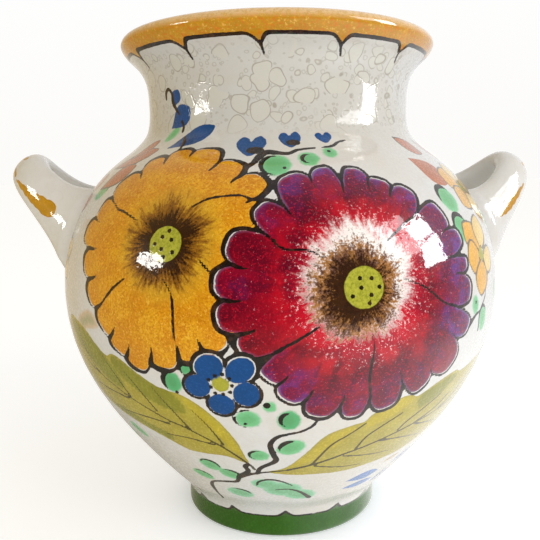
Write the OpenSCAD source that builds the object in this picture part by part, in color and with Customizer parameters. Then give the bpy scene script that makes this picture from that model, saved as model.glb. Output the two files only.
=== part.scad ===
// Two-handled painted pottery vase: a round thrown body on a low foot ring,
// a short collar with a flared, rolled rim, and two upswept lug handles.
// Frame: +Z up, origin at the middle of the face the foot ring stands on.
// The front is -Y, and the handles are on the X axis.

/* [Body] */
// Height of the vase from the foot to the top of the rim
vase_h = 250; // [230:1:270]
// Largest radius of the belly
belly_r = 114; // [108:0.5:118]
// Height of the seam at the widest point of the belly
belly_z = 124; // [118:1:130]
// Thickness of the fired wall, measured square to its surface
wall = 6; // [5:0.25:7]
// Thickness of the clay floor above the foot ring
floor_t = 8; // [7:0.5:10]

/* [Foot] */
// Outer radius of the foot ring
foot_r = 52.3; // [50:0.1:53]
// Height of the foot ring
foot_h = 11; // [10:0.5:12]
// Width of the ring that the vase stands on
foot_w = 9; // [7:0.5:12]
// Radius of the rounded outer edge under the foot ring
foot_round = 2.5; // [1:0.25:3]

/* [Neck and rim] */
// Smallest outer radius of the collar
neck_r = 67.6; // [66:0.1:69]
// Height of the seam between the shoulder and the collar
neck_z = 203; // [201:0.5:205]
// Height of the seam between the collar and the rolled rim
rim_z = 237; // [236:0.5:239]
// Largest radius of the rolled rim
rim_r = 80.7; // [80:0.1:82]

/* [Handles] */
// Distance from the vase's axis to the strap's lower edge at the handle's tip
tip_low_x = 137.5; // [135:0.5:139]
// Height of the strap's lower edge at the handle's tip
tip_low_z = 178.5; // [176:0.5:180]
// Distance from the vase's axis to the strap's upper edge at the handle's tip
tip_high_x = 122; // [120:0.5:124]
// Height of the strap's upper edge at the handle's tip
tip_high_z = 191.2; // [189:0.2:193]
// Half of the distance between the middles of a handle's two arms
arm_y = 23; // [21:0.5:25]
// Half thickness of the strap at the tip
tip_half_t = 7; // [6:0.1:7.5]
// Half thickness of the strap in its arms
arm_half_t = 5.5; // [5:0.1:6]
// How much higher the right handle's far arm sits than its near arm, for each millimetre between them
right_roll = 0.14; // [0:0.02:0.16]

/* [Hidden] */

turned_fn = 144;      // facets of a turned surface in a preview
wall_steps = 22;      // steps of a wall outline between two seams
strap_steps = 30;     // stations along a handle
section_points = 20;  // points round a handle's section
low_root = [106, 132];    // lower edge of a strap inside the wall
low_bend = [119, 153.5];  // control point of the lower edge
high_root = [87, 171.5];  // upper edge of a strap inside the wall
high_bend = [111.5, 174.5];
root_flare = 4.5;     // extra half thickness where an arm spreads onto the wall
rim_top_r = 75.5;     // radius of the highest line of the rim
rim_side_z = vase_h - 4.6;
floor_round = 16;     // radius of the curve between the floor and the inner wall

// Outer wall as stations of height, radius and slope of radius over height.
stations = [
    [foot_h, foot_r, 0.30],
    [16, 54.9, 0.72],
    [24, 61.9, 0.92],
    [60, 91.3, 0.70],
    [90, 107.6, 0.38],
    [belly_z, belly_r, 0],
    [183, 90.2, -1.02],
    [192, 79.2, -1.34],
    [neck_z, 69.1, -0.38],
    [216, neck_r, 0],
    [228, 68.8, 0.26],
    [rim_z, 74.2, 1.00]];

// Index of the station below a height.
function span(z, i = 0) =
    i >= len(stations) - 2 || z < stations[i + 1][0] ? i : span(z, i + 1);

// Cubic Hermite blend between two stations, and its slope.
function hermite(a, b, t) =
    let(d = b[0] - a[0])
    (2*t*t*t - 3*t*t + 1)*a[1] + (t*t*t - 2*t*t + t)*d*a[2]
    + (3*t*t - 2*t*t*t)*b[1] + (t*t*t - t*t)*d*b[2];
function hermite_slope(a, b, t) =
    let(d = b[0] - a[0])
    ((6*t*t - 6*t)*(a[1] - b[1]) + (3*t*t - 4*t + 1)*d*a[2] + (3*t*t - 2*t)*d*b[2]) / d;

function station_t(z, i) = (z - stations[i][0]) / (stations[i + 1][0] - stations[i][0]);
function outer_r(z) = let(i = span(z)) hermite(stations[i], stations[i + 1], station_t(z, i));
function outer_slope(z) =
    let(i = span(z)) hermite_slope(stations[i], stations[i + 1], station_t(z, i));

// A point of the outline, sunk square to the surface by a depth.
function wall_point(z, depth = 0) =
    let(m = outer_slope(z), n = sqrt(1 + m*m))
    [outer_r(z) - depth/n, z + depth*m/n];

// Point on a curve with one control point, from 0 at the start to 1 at the end.
function bend(a, b, c, s) = (1 - s)*(1 - s)*a + 2*s*(1 - s)*b + s*s*c;

function heights(z0, z1, steps = wall_steps) = [for (k = [0:steps]) z0 + (z1 - z0)*k/steps];

// Closed outline of a stretch of wall between two seams.
function wall_outline(z0, z1) = concat(
    [for (z = heights(z0, z1)) wall_point(z)],
    [for (z = heights(z1, z0)) wall_point(z, wall)]);

module turned() {
    rotate_extrude($fn = turned_fn) children();
}

// The ring that the vase stands on, rounded outside and hollow underneath.
module foot_ring() {
    inner_r = foot_r - foot_w;
    color("forestgreen") turned() polygon(concat(
        [[inner_r, 0]],
        [for (a = [-90:15:0])
            [foot_r - foot_round + foot_round*cos(a), foot_round + foot_round*sin(a)]],
        [[foot_r, foot_h], [inner_r - 2, foot_h]]));
}

// The lower half of the thrown body with its floor.
module lower_bowl() {
    inner_top = foot_h + floor_t;
    start_z = 33;
    p = wall_point(start_z, wall);
    color("ivory") turned() polygon(concat(
        [[0, foot_h]],
        [for (z = heights(foot_h, belly_z, 2*wall_steps)) wall_point(z)],
        [for (z = heights(belly_z, start_z, 2*wall_steps)) wall_point(z, wall)],
        [for (k = [1:8])
            bend(p, [p[0] - 8, inner_top + 1], [p[0] - 8 - floor_round, inner_top], k/8)],
        [[0, inner_top]]));
}

module shoulder() {
    color("linen") turned() polygon(wall_outline(belly_z, neck_z));
}

module neck_collar() {
    color("gainsboro") turned() polygon(wall_outline(neck_z, rim_z));
}

// The rolled rim: flares out from the collar, rounds over and returns inside.
module rolled_rim() {
    a = wall_point(rim_z);
    b = wall_point(rim_z, wall);
    top_h = vase_h - rim_side_z;
    in_r = rim_top_r - 6.5;
    color("goldenrod") turned() polygon(concat(
        [for (k = [0:6]) bend(a, [rim_r - 0.6, rim_side_z - 3.2], [rim_r, rim_side_z], k/6)],
        [for (w = [15:15:90]) [rim_top_r + (rim_r - rim_top_r)*cos(w), rim_side_z + top_h*sin(w)]],
        [for (w = [105:15:180]) [rim_top_r + (rim_top_r - in_r)*cos(w), rim_side_z + top_h*sin(w)]],
        [for (k = [1:5]) bend([in_r, rim_side_z], [in_r, rim_side_z - 3], b, k/5)]));
}

// The body's outside as one solid, which the handle roots are fitted to.
module body_outside() {
    turned() polygon(concat([[0, 100]], [for (z = heights(100, neck_z, 40)) wall_point(z)],
                            [[0, neck_z]]));
}

// Edges of the strap in the XZ plane, from the root at 0 to the tip at 1.
function low_edge(s) = bend(low_root, low_bend, [tip_low_x, tip_low_z], s);
function high_edge(s) = bend(high_root, high_bend, [tip_high_x, tip_high_z], s);

// Middle of the strap at an angle from 0 to 180 degrees along its arch.
function strap_middle(turn, roll) =
    let(s = sin(turn), y = arm_y*cos(turn), m = (low_edge(s) + high_edge(s))/2)
    [m[0], y, m[1] + roll*y];

// One closed ring of points round the strap.
function strap_ring(turn, roll) =
    let(s = sin(turn),
        width = high_edge(s) - low_edge(s),
        half_w = [width[0], 0, width[1]]/2,
        run = strap_middle(turn + 1, roll) - strap_middle(turn - 1, roll),
        side = cross(half_w, run),
        half_t = arm_half_t + (tip_half_t - arm_half_t)*s*s + root_flare*pow(1 - s, 2))
    [for (k = [0:section_points - 1]) let(a = 360*k/section_points)
        strap_middle(turn, roll) + cos(a)*half_w + half_t*sin(a)*side/norm(side)];

// The whole upswept loop, with its two ends buried in the body.
module strap(roll) {
    n = section_points;
    rings = [for (k = [0:strap_steps]) strap_ring(4 + 172*k/strap_steps, roll)];
    points = [for (ring = rings) each ring];
    sides = [for (k = [0:strap_steps - 1], j = [0:n - 1]) let(i = (j + 1) % n)
        each [[k*n + j, k*n + i, (k + 1)*n + j], [(k + 1)*n + j, k*n + i, (k + 1)*n + i]]];
    first = [for (j = [1:n - 2]) [0, j + 1, j]];
    last = [for (j = [1:n - 2]) strap_steps*n*[1, 1, 1] + [0, j, j + 1]];
    polyhedron(points, concat(sides, first, last));
}

module handle(roll) {
    color("antiquewhite") difference() {
        strap(roll);
        body_outside();
    }
}

module handle_left() {
    mirror([1, 0, 0]) handle(0);
}

module handle_right() {
    handle(right_roll);
}

foot_ring();
lower_bowl();
shoulder();
neck_collar();
rolled_rim();
handle_left();
handle_right();
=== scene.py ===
"""A painted two-handled pottery vase: smooth glazed sections built round the CAD frame, with the
painting worked out stroke by stroke on the pot's own surface.

Shape values are in millimetres, and places on the pot are (azimuth in degrees, height in mm), where
azimuth 0 is the front (-Y), positive to the viewer's right, and the handles are at 90 and -90.
"""
import math

import bpy
import numpy as np
from mathutils import Matrix, Vector


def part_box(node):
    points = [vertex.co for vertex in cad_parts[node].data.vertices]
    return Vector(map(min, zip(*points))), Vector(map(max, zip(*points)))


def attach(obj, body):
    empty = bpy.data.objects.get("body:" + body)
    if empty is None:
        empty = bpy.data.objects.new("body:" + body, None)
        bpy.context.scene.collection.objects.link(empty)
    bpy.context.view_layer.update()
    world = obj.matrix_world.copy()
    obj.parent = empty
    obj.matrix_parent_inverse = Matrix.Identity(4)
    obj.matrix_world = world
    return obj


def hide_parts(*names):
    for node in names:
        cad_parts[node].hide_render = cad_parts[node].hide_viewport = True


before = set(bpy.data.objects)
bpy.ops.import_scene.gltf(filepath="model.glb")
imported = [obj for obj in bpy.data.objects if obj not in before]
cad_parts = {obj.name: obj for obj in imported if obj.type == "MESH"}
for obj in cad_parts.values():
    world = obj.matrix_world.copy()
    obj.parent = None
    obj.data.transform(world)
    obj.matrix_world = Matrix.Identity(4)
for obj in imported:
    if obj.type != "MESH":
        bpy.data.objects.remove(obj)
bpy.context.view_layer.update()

MM = 0.001


# ---------------------------------------------------------------- the pot's shape, from the frame

def low(node, axis):
    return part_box(node)[0][axis] / MM


def high(node, axis):
    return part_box(node)[1][axis] / MM


VASE_H = high("rolled_rim", 2)
FOOT_H = high("foot_ring", 2)
FOOT_R = high("foot_ring", 0)
BELLY_Z = high("lower_bowl", 2)
BELLY_R = high("lower_bowl", 0)
NECK_Z = high("shoulder", 2)
RIM_Z = low("rolled_rim", 2)
RIM_R = high("rolled_rim", 0)

WALL = 6.0            # thickness of the wall, square to its surface
FOOT_W = 9.0          # width of the ring the vase stands on
FOOT_ROUND = 2.5      # radius of the foot's outer edge
FLOOR_TOP = 19.0      # height of the floor inside
FLOOR_BEND_Z = 33.0   # height where the inner wall starts to bend into the floor
FLOOR_BEND_W = 24.0   # width of that bend
FLOOR_DISH = 0.6      # how much the floor dips to its middle
PIN_R = 0.4           # radius left open at the middle of the floor's sheets
FOOT_TAPER = 2.0      # how much further in the recess's wall is at the top
RIM_SIDE_Z = VASE_H - 4.6   # height of the rim's widest line
RIM_TOP_R = 75.5      # radius of the rim's highest line
RIM_IN_R = 69.0       # radius of the rim's inner face

# Height, radius and slope of radius over height along the outer wall, as in the CAD model.
STATIONS = [
    (FOOT_H, FOOT_R, 0.30),
    (16, 54.9, 0.72),
    (24, 61.9, 0.92),
    (60, 91.3, 0.70),
    (90, 107.6, 0.38),
    (BELLY_Z, BELLY_R, 0),
    (183, 90.2, -1.02),
    (192, 79.2, -1.34),
    (NECK_Z, 69.1, -0.38),
    (216, 67.6, 0),
    (228, 68.8, 0.26),
    (RIM_Z, 74.2, 1.00),
]


def outer_wall(z):
    """Radius and slope of the outer wall at heights z."""
    z = np.atleast_1d(np.asarray(z, float))
    table = np.array(STATIONS, float)
    i = np.clip(np.searchsorted(table[:, 0], z, side="right") - 1, 0, len(table) - 2)
    (z0, r0, m0), (z1, r1, m1) = table[i].T, table[i + 1].T
    d = z1 - z0
    t = (z - z0) / d
    r = (2*t**3 - 3*t**2 + 1)*r0 + (t**3 - 2*t**2 + t)*d*m0 + (3*t**2 - 2*t**3)*r1 + (t**3 - t**2)*d*m1
    m = ((6*t**2 - 6*t)*(r0 - r1) + (3*t**2 - 4*t + 1)*d*m0 + (3*t**2 - 2*t)*d*m1) / d
    return r, m


def wall_line(z0, z1, step, depth=0.0):
    """Points (radius, height) along the wall, about a step apart, sunk square to it by a depth."""
    z = np.linspace(z0, z1, 400)
    r, m = outer_wall(z)
    n = np.sqrt(1 + m*m)
    line = np.stack([r - depth/n, z + depth*m/n], 1)
    return even(line, step)


def even(line, step):
    """The same line with evenly spaced points."""
    line = np.asarray(line, float)
    run = np.concatenate([[0], np.cumsum(np.hypot(*np.diff(line, axis=0).T))])
    count = max(2, int(round(run[-1] / step)) + 1)
    at = np.linspace(0, run[-1], count)
    return np.stack([np.interp(at, run, part) for part in line.T], 1)


def bend(a, b, c, count=40):
    """A curve from a to c that leaves and arrives along the lines to b."""
    t = np.linspace(0, 1, count)[:, None]
    a, b, c = (np.asarray(p, float) for p in (a, b, c))
    return (1 - t)**2 * a + 2*t*(1 - t)*b + t**2 * c


def quarter(centre, radii, start, end):
    """Part of an ellipse, from one angle in degrees to another."""
    a = np.radians(np.linspace(start, end, 24))
    return np.stack([centre[0] + radii[0]*np.cos(a), centre[1] + radii[1]*np.sin(a)], 1)


SEGMENTS = 640        # divisions round the pot
ROW = 1.06            # distance between rows of the painted surface
COARSE = 5.0          # the same on the plain inside
PLAIN_EVERY = 4       # the plain inside has one column for this many divisions


def foot_line():
    centre = (FOOT_R - FOOT_ROUND, FOOT_ROUND)
    edge = quarter(centre, (FOOT_ROUND, FOOT_ROUND), -90, 0)
    return even(np.vstack([edge, [[FOOT_R, FOOT_H]]]), ROW)


def rim_line():
    a = wall_line(RIM_Z - 0.01, RIM_Z, 1)[-1]
    side = (RIM_R, RIM_SIDE_Z)
    out = bend(a, (RIM_R - 0.6, RIM_SIDE_Z - 3.2), side)
    over = quarter((RIM_TOP_R, RIM_SIDE_Z), (RIM_R - RIM_TOP_R, VASE_H - RIM_SIDE_Z), 0, 90)
    inner = quarter((RIM_TOP_R, RIM_SIDE_Z), (RIM_TOP_R - RIM_IN_R, VASE_H - RIM_SIDE_Z), 90, 180)
    b = wall_line(RIM_Z - 0.01, RIM_Z, 1, WALL)[-1]
    back = bend((RIM_IN_R, RIM_SIDE_Z), (RIM_IN_R, RIM_SIDE_Z - 3), b)
    return even(np.vstack([out, over[1:], inner[1:], back[1:]]), ROW)


SECTIONS = [
    ("foot", foot_line()),
    ("bowl", wall_line(FOOT_H, BELLY_Z, ROW)),
    ("shoulder", wall_line(BELLY_Z, NECK_Z, ROW)),
    ("neck", wall_line(NECK_Z, RIM_Z, ROW)),
    ("rim", rim_line()),
]
SPAN = {}
LINE = [SECTIONS[0][1]]
first = 0
for section, line in SECTIONS:
    SPAN[section] = (first, first + len(line))
    first += len(line) - 1
    if section != "foot":
        LINE.append(line[1:])
LINE = np.vstack(LINE)

AZIMUTH = -math.pi + 2*math.pi*np.arange(SEGMENTS)/SEGMENTS
ROW_R = LINE[:, 0]
ROW_Z = LINE[:, 1]
STEP = np.hypot(*np.diff(LINE, axis=0).T)
# Height on a flat map of the pot that keeps angles true.
MAP_Y = np.concatenate([[0], np.cumsum(STEP / ((ROW_R[1:] + ROW_R[:-1])/2))]) * BELLY_R
MAP_X = AZIMUTH * BELLY_R
MAP_SCALE = ROW_R / BELLY_R
SIDE_ROW = int(np.argmax(np.where(ROW_Z > RIM_Z, ROW_R, 0)))


def unevenness(azimuth, z):
    """How far the thrown wall strays from round, in mm."""
    return (0.30*np.sin(2*azimuth + 0.7) * np.sin(z/62) + 0.16*np.sin(3*azimuth + z/47)
            + 0.05*np.sin(5*azimuth - z/21) + 0.035*np.sin(z/1.9 + 0.6*np.sin(azimuth)))


# ---------------------------------------------------------------- brushes

def linear(r, g, b):
    """A colour given as screen values from 0 to 255."""
    def one(c):
        c /= 255
        return c/12.92 if c <= 0.04045 else ((c + 0.055)/1.055)**2.4
    return np.array([one(r), one(g), one(b)])


FAR = 6.0             # how far outside a stroke its field is kept, in mm or square mm
REACH = 4.0           # how far round a shape its distances are worked out, in mm
SHAPE = (len(LINE), SEGMENTS)
fill_edge = np.full(SHAPE, FAR)       # distance outside the painted shapes, negative inside
fill_rgb = np.zeros(SHAPE + (3,))
wash_edge = np.full(SHAPE, FAR)       # the same for the wet, soft-edged dabs
wash_rgb = np.zeros(SHAPE + (3,))
ink = np.full(SHAPE, -FAR)            # half width squared less distance squared, for bold lines
fine = np.full(SHAPE, -FAR)           # the same for thin lines
fine_tone = np.zeros(SHAPE)           # 0 for dark olive thin lines, 1 for grey ones
heart = np.zeros(SHAPE + (3,))        # place in a flower in disc radii, and which kind it is
tip_tint = np.zeros(SHAPE)            # how purple a petal's tip is


def on_map(places):
    """Map points of places given as (azimuth in degrees, height in mm)."""
    p = np.atleast_2d(np.asarray(places, float))
    y = np.interp(p[:, 1], ROW_Z[:SIDE_ROW], MAP_Y[:SIDE_ROW])
    return np.stack([np.radians(p[:, 0])*BELLY_R, y], 1)


def round_place(place, offsets):
    """Map points that lie at offsets (right, up) in mm from a place."""
    scale = np.interp(place[1], ROW_Z[:SIDE_ROW], MAP_SCALE[:SIDE_ROW])
    return on_map([place]) + np.atleast_2d(offsets)/scale


def polar(angle, reach):
    """Offset in mm at a clock angle in degrees: 0 is up, 90 is to the right."""
    a = np.radians(angle)
    return np.stack([reach*np.sin(a), reach*np.cos(a)], -1)


def curve(points, closed=False, per=7):
    """A smooth line through the points."""
    p = np.asarray(points, float)
    if len(p) < 3 and not closed:
        return p
    q = np.vstack([p[-1:], p, p[:2]]) if closed else np.vstack([2*p[0] - p[1], p, 2*p[-1] - p[-2]])
    t = np.arange(per)[:, None]/per
    parts = []
    for a, b, c, d in zip(q, q[1:], q[2:], q[3:]):
        parts.append(0.5*(2*b + (c - a)*t + (2*a - 5*b + 4*c - d)*t**2 + (3*b - a - 3*c + d)*t**3))
    if not closed:
        parts.append(p[-1:])
    return np.vstack(parts)


def window(path):
    """The rows and columns of the surface within reach of a map path."""
    margin = REACH / np.interp(path[:, 1], MAP_Y, MAP_SCALE).min()
    x0, y0 = path.min(0) - margin
    x1, y1 = path.max(0) + margin
    rows = slice(*np.searchsorted(MAP_Y, [y0, y1]))
    cols = slice(*np.searchsorted(MAP_X, [x0, x1]))
    return rows, cols


def to_path(path, rows, cols):
    """Distance in mm from each surface point to a path, and how far along the nearest point is."""
    x = MAP_X[cols][None, :]
    y = MAP_Y[rows][:, None]
    run = np.concatenate([[0], np.cumsum(np.hypot(*np.diff(path, axis=0).T))])
    run = run / max(run[-1], 1e-9)
    best = np.full((y.shape[0], x.shape[1]), 1e9)
    along = np.zeros_like(best)
    for a, b, t0, t1 in zip(path, path[1:], run, run[1:]):
        d = b - a
        t = np.clip(((x - a[0])*d[0] + (y - a[1])*d[1]) / max(d @ d, 1e-12), 0, 1)
        gap = (x - a[0] - t*d[0])**2 + (y - a[1] - t*d[1])**2
        nearer = gap < best
        best = np.where(nearer, gap, best)
        along = np.where(nearer, t0 + (t1 - t0)*t, along)
    return np.sqrt(best) * MAP_SCALE[rows][:, None], along


def within(path, rows, cols):
    """Whether each surface point is inside a closed path."""
    x = MAP_X[cols][None, :]
    y = MAP_Y[rows][:, None]
    inside = np.zeros((y.shape[0], x.shape[1]), bool)
    for a, b in zip(path, np.roll(path, -1, axis=0)):
        crosses = (a[1] > y) != (b[1] > y)
        slope = (b[0] - a[0]) / (b[1] - a[1] if abs(b[1] - a[1]) > 1e-12 else 1e-12)
        inside ^= crosses & (x < a[0] + slope*(y - a[1]))
    return inside


def brush(path, widths, thin=False, tone=0.0):
    """A line along a map path, its width in mm changing evenly through the widths."""
    path = np.asarray(path, float)
    rows, cols = window(path)
    distance, along = to_path(path, rows, cols)
    half = np.interp(along, np.linspace(0, 1, len(widths)), widths) / 2
    field = np.maximum(half**2 - distance**2, -FAR)
    layer = fine if thin else ink
    if thin:
        fine_tone[rows, cols] = np.where(field > layer[rows, cols], tone, fine_tone[rows, cols])
    layer[rows, cols] = np.maximum(layer[rows, cols], field)


def dot(centre, radius):
    """A round black dot at a map point."""
    brush(np.vstack([centre, centre + 1e-6]), [2*radius])


def shape_edge(path):
    """Distance in mm from the surface points round a closed path to its edge, negative inside."""
    rows, cols = window(path)
    distance, _ = to_path(np.vstack([path, path[:1]]), rows, cols)
    return rows, cols, np.where(within(path, rows, cols), -distance, distance)


def fill(path, colour, kind=0, centre=None, disc=1.0, tint=None):
    """A flat painted shape, over whatever is there. A flower's also notes each point's place in it."""
    rows, cols, edge = shape_edge(path)
    old = fill_edge[rows, cols]
    take = (edge < 0) | ((edge < old) & (edge < REACH))
    fill_rgb[rows, cols][take] = colour
    place = heart[rows, cols]
    if kind:
        x = (MAP_X[cols][None, :] - centre[0]) * MAP_SCALE[rows][:, None] / disc
        y = (MAP_Y[rows][:, None] - centre[1]) * MAP_SCALE[rows][:, None] / disc
        x, y = np.broadcast_arrays(x, y)
        place[take] = np.stack([x, y, np.full(x.shape, float(kind))], -1)[take]
        angle = np.degrees(np.arctan2(x, y)) % 360
        tip_tint[rows, cols][take] = tint(angle)[take]
    else:
        place[take] = 0
    fill_edge[rows, cols] = np.minimum(old, np.clip(edge, -FAR, FAR))
    for layer in (ink, fine):
        layer[rows, cols] = np.minimum(layer[rows, cols], np.maximum(3*edge + 0.4, -FAR))


def cut(path):
    """Clears a shape down to bare glaze."""
    rows, cols, edge = shape_edge(path)
    fill_edge[rows, cols] = np.maximum(fill_edge[rows, cols], -edge)
    wash_edge[rows, cols] = np.maximum(wash_edge[rows, cols], -edge)
    for layer in (ink, fine):
        layer[rows, cols] = np.minimum(layer[rows, cols], np.maximum(3*edge, -FAR))


def wash(path, colour):
    """A soft wet dab, under the flat shapes."""
    rows, cols, edge = shape_edge(path)
    take = edge < wash_edge[rows, cols]
    wash_rgb[rows, cols][take] = colour
    wash_edge[rows, cols] = np.minimum(wash_edge[rows, cols], edge)


def oval_arc(place, half_length, half_width, tilt, start, end, count=14):
    """Part of an oval's edge round a place, between two angles in degrees from the oval's long way,
    which is turned up from the right by a tilt."""
    a = np.radians(np.linspace(start, end, count))
    x, y = half_length*np.cos(a), half_width*np.sin(a)
    c, s = math.cos(math.radians(tilt)), math.sin(math.radians(tilt))
    return round_place(place, np.stack([x*c - y*s, x*s + y*c], 1))


def oval(place, half_length, half_width, tilt):
    """A whole oval, closed."""
    return oval_arc(place, half_length, half_width, tilt, 0, 360, 29)[:-1]


def eased(count):
    """Numbers from 0 to 1 that lie closer together at both ends."""
    return (1 - np.cos(np.linspace(0, math.pi, count)))/2


def petal(start, end, half_width, lean=1.4):
    """A closed petal from one place to another, pointed at the start and round at the end.

    A lean above 1 moves its widest part towards the end."""
    a, b = on_map([start, end])
    d = b - a
    side = np.array([-d[1], d[0]])/np.hypot(*d)
    scale = np.interp((a[1] + b[1])/2, MAP_Y, MAP_SCALE)
    t = eased(12)
    w = half_width/scale*np.sin(math.pi*t**lean)**0.75
    one = a + t[:, None]*d + w[:, None]*side
    other = a + t[:, None]*d - w[:, None]*side
    return np.vstack([one, other[::-1][1:-1]])


# ---------------------------------------------------------------- colours of the painting

YELLOW = linear(224, 152, 18)
PALE_YELLOW = linear(240, 206, 120)
SMALL_YELLOW = linear(236, 178, 60)
CRIMSON = linear(170, 14, 42)
OLIVE = linear(180, 166, 62)
LEAF_GREEN = linear(146, 144, 44)
LEAF_GOLD = linear(192, 174, 50)
BLUE = linear(8, 76, 142)
SOFT_BLUE = linear(84, 128, 196)
LIME = linear(176, 174, 60)
GREEN = linear(96, 190, 124)
STRONG_GREEN = linear(44, 168, 96)
PALE_GREEN = linear(126, 200, 156)
BROWN_LEAF = linear(192, 112, 70)
TAN = linear(205, 180, 148)
OCHRE = linear(198, 145, 30)
FOOT_GREEN = linear(50, 100, 20)


# ---------------------------------------------------------------- flowers

def lobe_edge(lobe, before, grow=0.0):
    """Clock angles and reaches along one petal's rounded end, between its two notches."""
    tip, reach, end, end_reach = lobe[:4]
    start, start_reach = before[2], before[3]
    if start > tip:
        start -= 360
    if end < tip:
        end += 360
    angle = start + (end - start)*eased(18)
    rising = angle < tip
    away = np.where(rising, (tip - angle)/(tip - start), (angle - tip)/(end - tip))
    foot = np.where(rising, start_reach, end_reach)
    return angle, reach - (reach - foot)*away**3.2 + grow


def ring_of_petals(place, lobes, grow=0.0):
    """The whole edge of a flower of many lobes."""
    parts = []
    for i, lobe in enumerate(lobes):
        angle, reach = lobe_edge(lobe, lobes[i - 1], grow)
        parts.append(polar(angle, reach)[:-1])
    return round_place(place, np.vstack(parts))


def big_flower(place, disc, lobes, colour, kind, gap, bold, habit, splits, dots):
    """A flower of many lobes: its fill, an outline of one brush stroke per lobe, split lines and dots.

    Strokes are as wide as the first number in bold, in mm, and wider by up to the second on the
    side away from the clock angle that is the third, where the brush was loaded."""
    ends = np.array([lobe[2] for lobe in lobes], float)
    tints = np.array([lobe[4] for lobe in lobes], float)
    order = np.argsort(ends)
    least, more, light_side = bold

    def tint(angle):
        nearest = np.searchsorted(ends[order], angle) % len(ends)
        return tints[order][nearest]

    cut(ring_of_petals(place, lobes, gap + 0.7))
    fill(ring_of_petals(place, lobes), colour, kind, on_map([place])[0], disc, tint)
    for i, lobe in enumerate(lobes):
        angle, reach = lobe_edge(lobe, lobes[i - 1], gap)
        weight = (least + more*max(0.0, -math.cos(math.radians(lobe[0] - light_side))))*lobe[5]
        path = polar(angle, reach + weight*0.45)
        hook = polar(angle[-1] - np.array([0.8, 0.6]), reach[-1]*np.array([0.94, 0.88]))
        widths = np.array(habit)*weight
        brush(curve(round_place(place, np.vstack([path[1:], hook])), per=3), widths)
    for split in splits:
        angles, reaches = np.array(split, float).T
        brush(curve(round_place(place, polar(angles, reaches))), [1.1, 1.3, 1.2, 0.8])
    for angle, reach in dots:
        dot(round_place(place, polar(angle, reach)), 1.05)


# One row per lobe, clockwise: clock angle and reach of its tip, clock angle and reach of the notch
# after it, how purple its tip is, and how bold its outline is. Splits and dots are given as clock
# angles and reaches too, and all reaches are in mm from the flower's place.
YELLOW_PLACE = (-30.5, 153.7)
YELLOW_DISC = 7.5
YELLOW_LOBES = [
    (8, 57.5, 19, 47, 0, 1.2), (33, 51, 40, 44, 0, 1.35), (53, 51.5, 61, 43, 0, 1.5),
    (74, 46, 82, 42, 0, 0.6), (95, 45, 104, 41, 0, 0.6), (116, 44, 128, 40, 0, 0.6),
    (136, 46, 142, 44, 0, 0.8), (150, 47, 158, 44.8, 0, 1.0), (166, 47, 172, 44.8, 0, 0.9),
    (181, 50, 189, 48, 0, 0.95), (196, 54.5, 204, 52, 0, 0.9), (211, 52.5, 216.5, 50, 0, 0.85),
    (224, 50.5, 232.5, 46.5, 0, 0.95), (241, 50.5, 248.5, 46.5, 0, 1.1), (258, 51, 265, 46.5, 0, 1.2),
    (273, 55.5, 281, 51, 0, 1.0), (290, 52, 295.5, 47, 0, 0.9), (307, 54.5, 319, 48.5, 0, 0.9),
    (328, 58, 336.5, 53.5, 0, 1.2), (346, 59, 355, 55, 0, 1.0),
]
YELLOW_SPLITS = [
    [(61, 42), (52, 37), (38, 27), (28, 19)],
    [(172, 38), (171, 33), (167, 21), (177, 14)],
    [(232, 41), (233, 32), (232, 24)],
    [(295, 43), (294, 37), (296, 31), (299, 20)],
    [(111, 17), (119, 26)],
    [(19, 45), (17, 40)],
]
YELLOW_DOTS = [(328, 3.4), (55, 3.2), (268, 5.0), (215, 2.6), (130, 5.0), (180, 5.2), (10, 5.8)]

CRIMSON_PLACE = (11.2, 136.7)
CRIMSON_DISC = 8.4
CRIMSON_LOBES = [
    (5, 58, 14, 52, 0.75, 1.1), (21, 53, 28, 49.5, 0.6, 1.1), (37, 54.5, 47, 44, 0.9, 1.1),
    (55, 57.5, 66.5, 54, 0.7, 1.1), (73, 59.5, 79.5, 49, 1.0, 1.1), (84, 58.5, 89, 54, 0.8, 1.1),
    (97, 60.5, 104.5, 50, 0.6, 1.1), (110, 64, 118, 56, 0.7, 0.9), (127, 65, 137.5, 55, 0.15, 0.9),
    (146, 59, 154, 46.5, 0.2, 1.0), (164, 58, 173.5, 49.5, 0.2, 1.2), (181, 58.5, 188.5, 51, 0.3, 1.0),
    (198, 59, 206.5, 52, 0.2, 1.1), (214, 56, 222, 51.5, 0.55, 0.8), (230, 53, 235.5, 43, 0.3, 0.8),
    (244, 54.5, 251, 51.5, 0, 1.15), (259, 59, 266, 54.5, 0, 1.15), (273, 59, 281, 52.5, 0.1, 1.15),
    (290, 57.5, 300, 45, 0, 1.1), (310, 55, 318.5, 45.5, 0.25, 1.1), (331, 60.5, 341, 54, 0.5, 1.1),
    (350, 59.5, 357, 46.5, 0.8, 1.1),
]
CRIMSON_SPLITS = [
    [(104.5, 49), (103, 40), (94, 29), (82, 18)],
    [(173, 50), (174, 37), (170, 26), (169, 19)],
    [(236, 43), (234, 34), (232, 23)],
    [(300, 45), (297, 36), (305, 27), (307, 20)],
    [(47, 43), (42, 34), (34, 22)],
]
CRIMSON_DOTS = [(335, 4.2), (43, 4.8), (270, 1.3), (90, 6.5), (238, 6.0), (138, 4.2), (162, 6.6)]

YELLOW_BOLD = (1.7, 0.9, -15)
CRIMSON_BOLD = (1.45, 0.45, 60)
# How each outline stroke swells and thins, from its start to the hook at its end.
YELLOW_HABIT = [0.35, 0.5, 0.85, 1.15, 1.2, 0.85, 0.3]
CRIMSON_HABIT = [0.65, 1.0, 1.1, 1.0, 1.0, 0.85, 0.4]


# ---------------------------------------------------------------- leaves and stems

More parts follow.
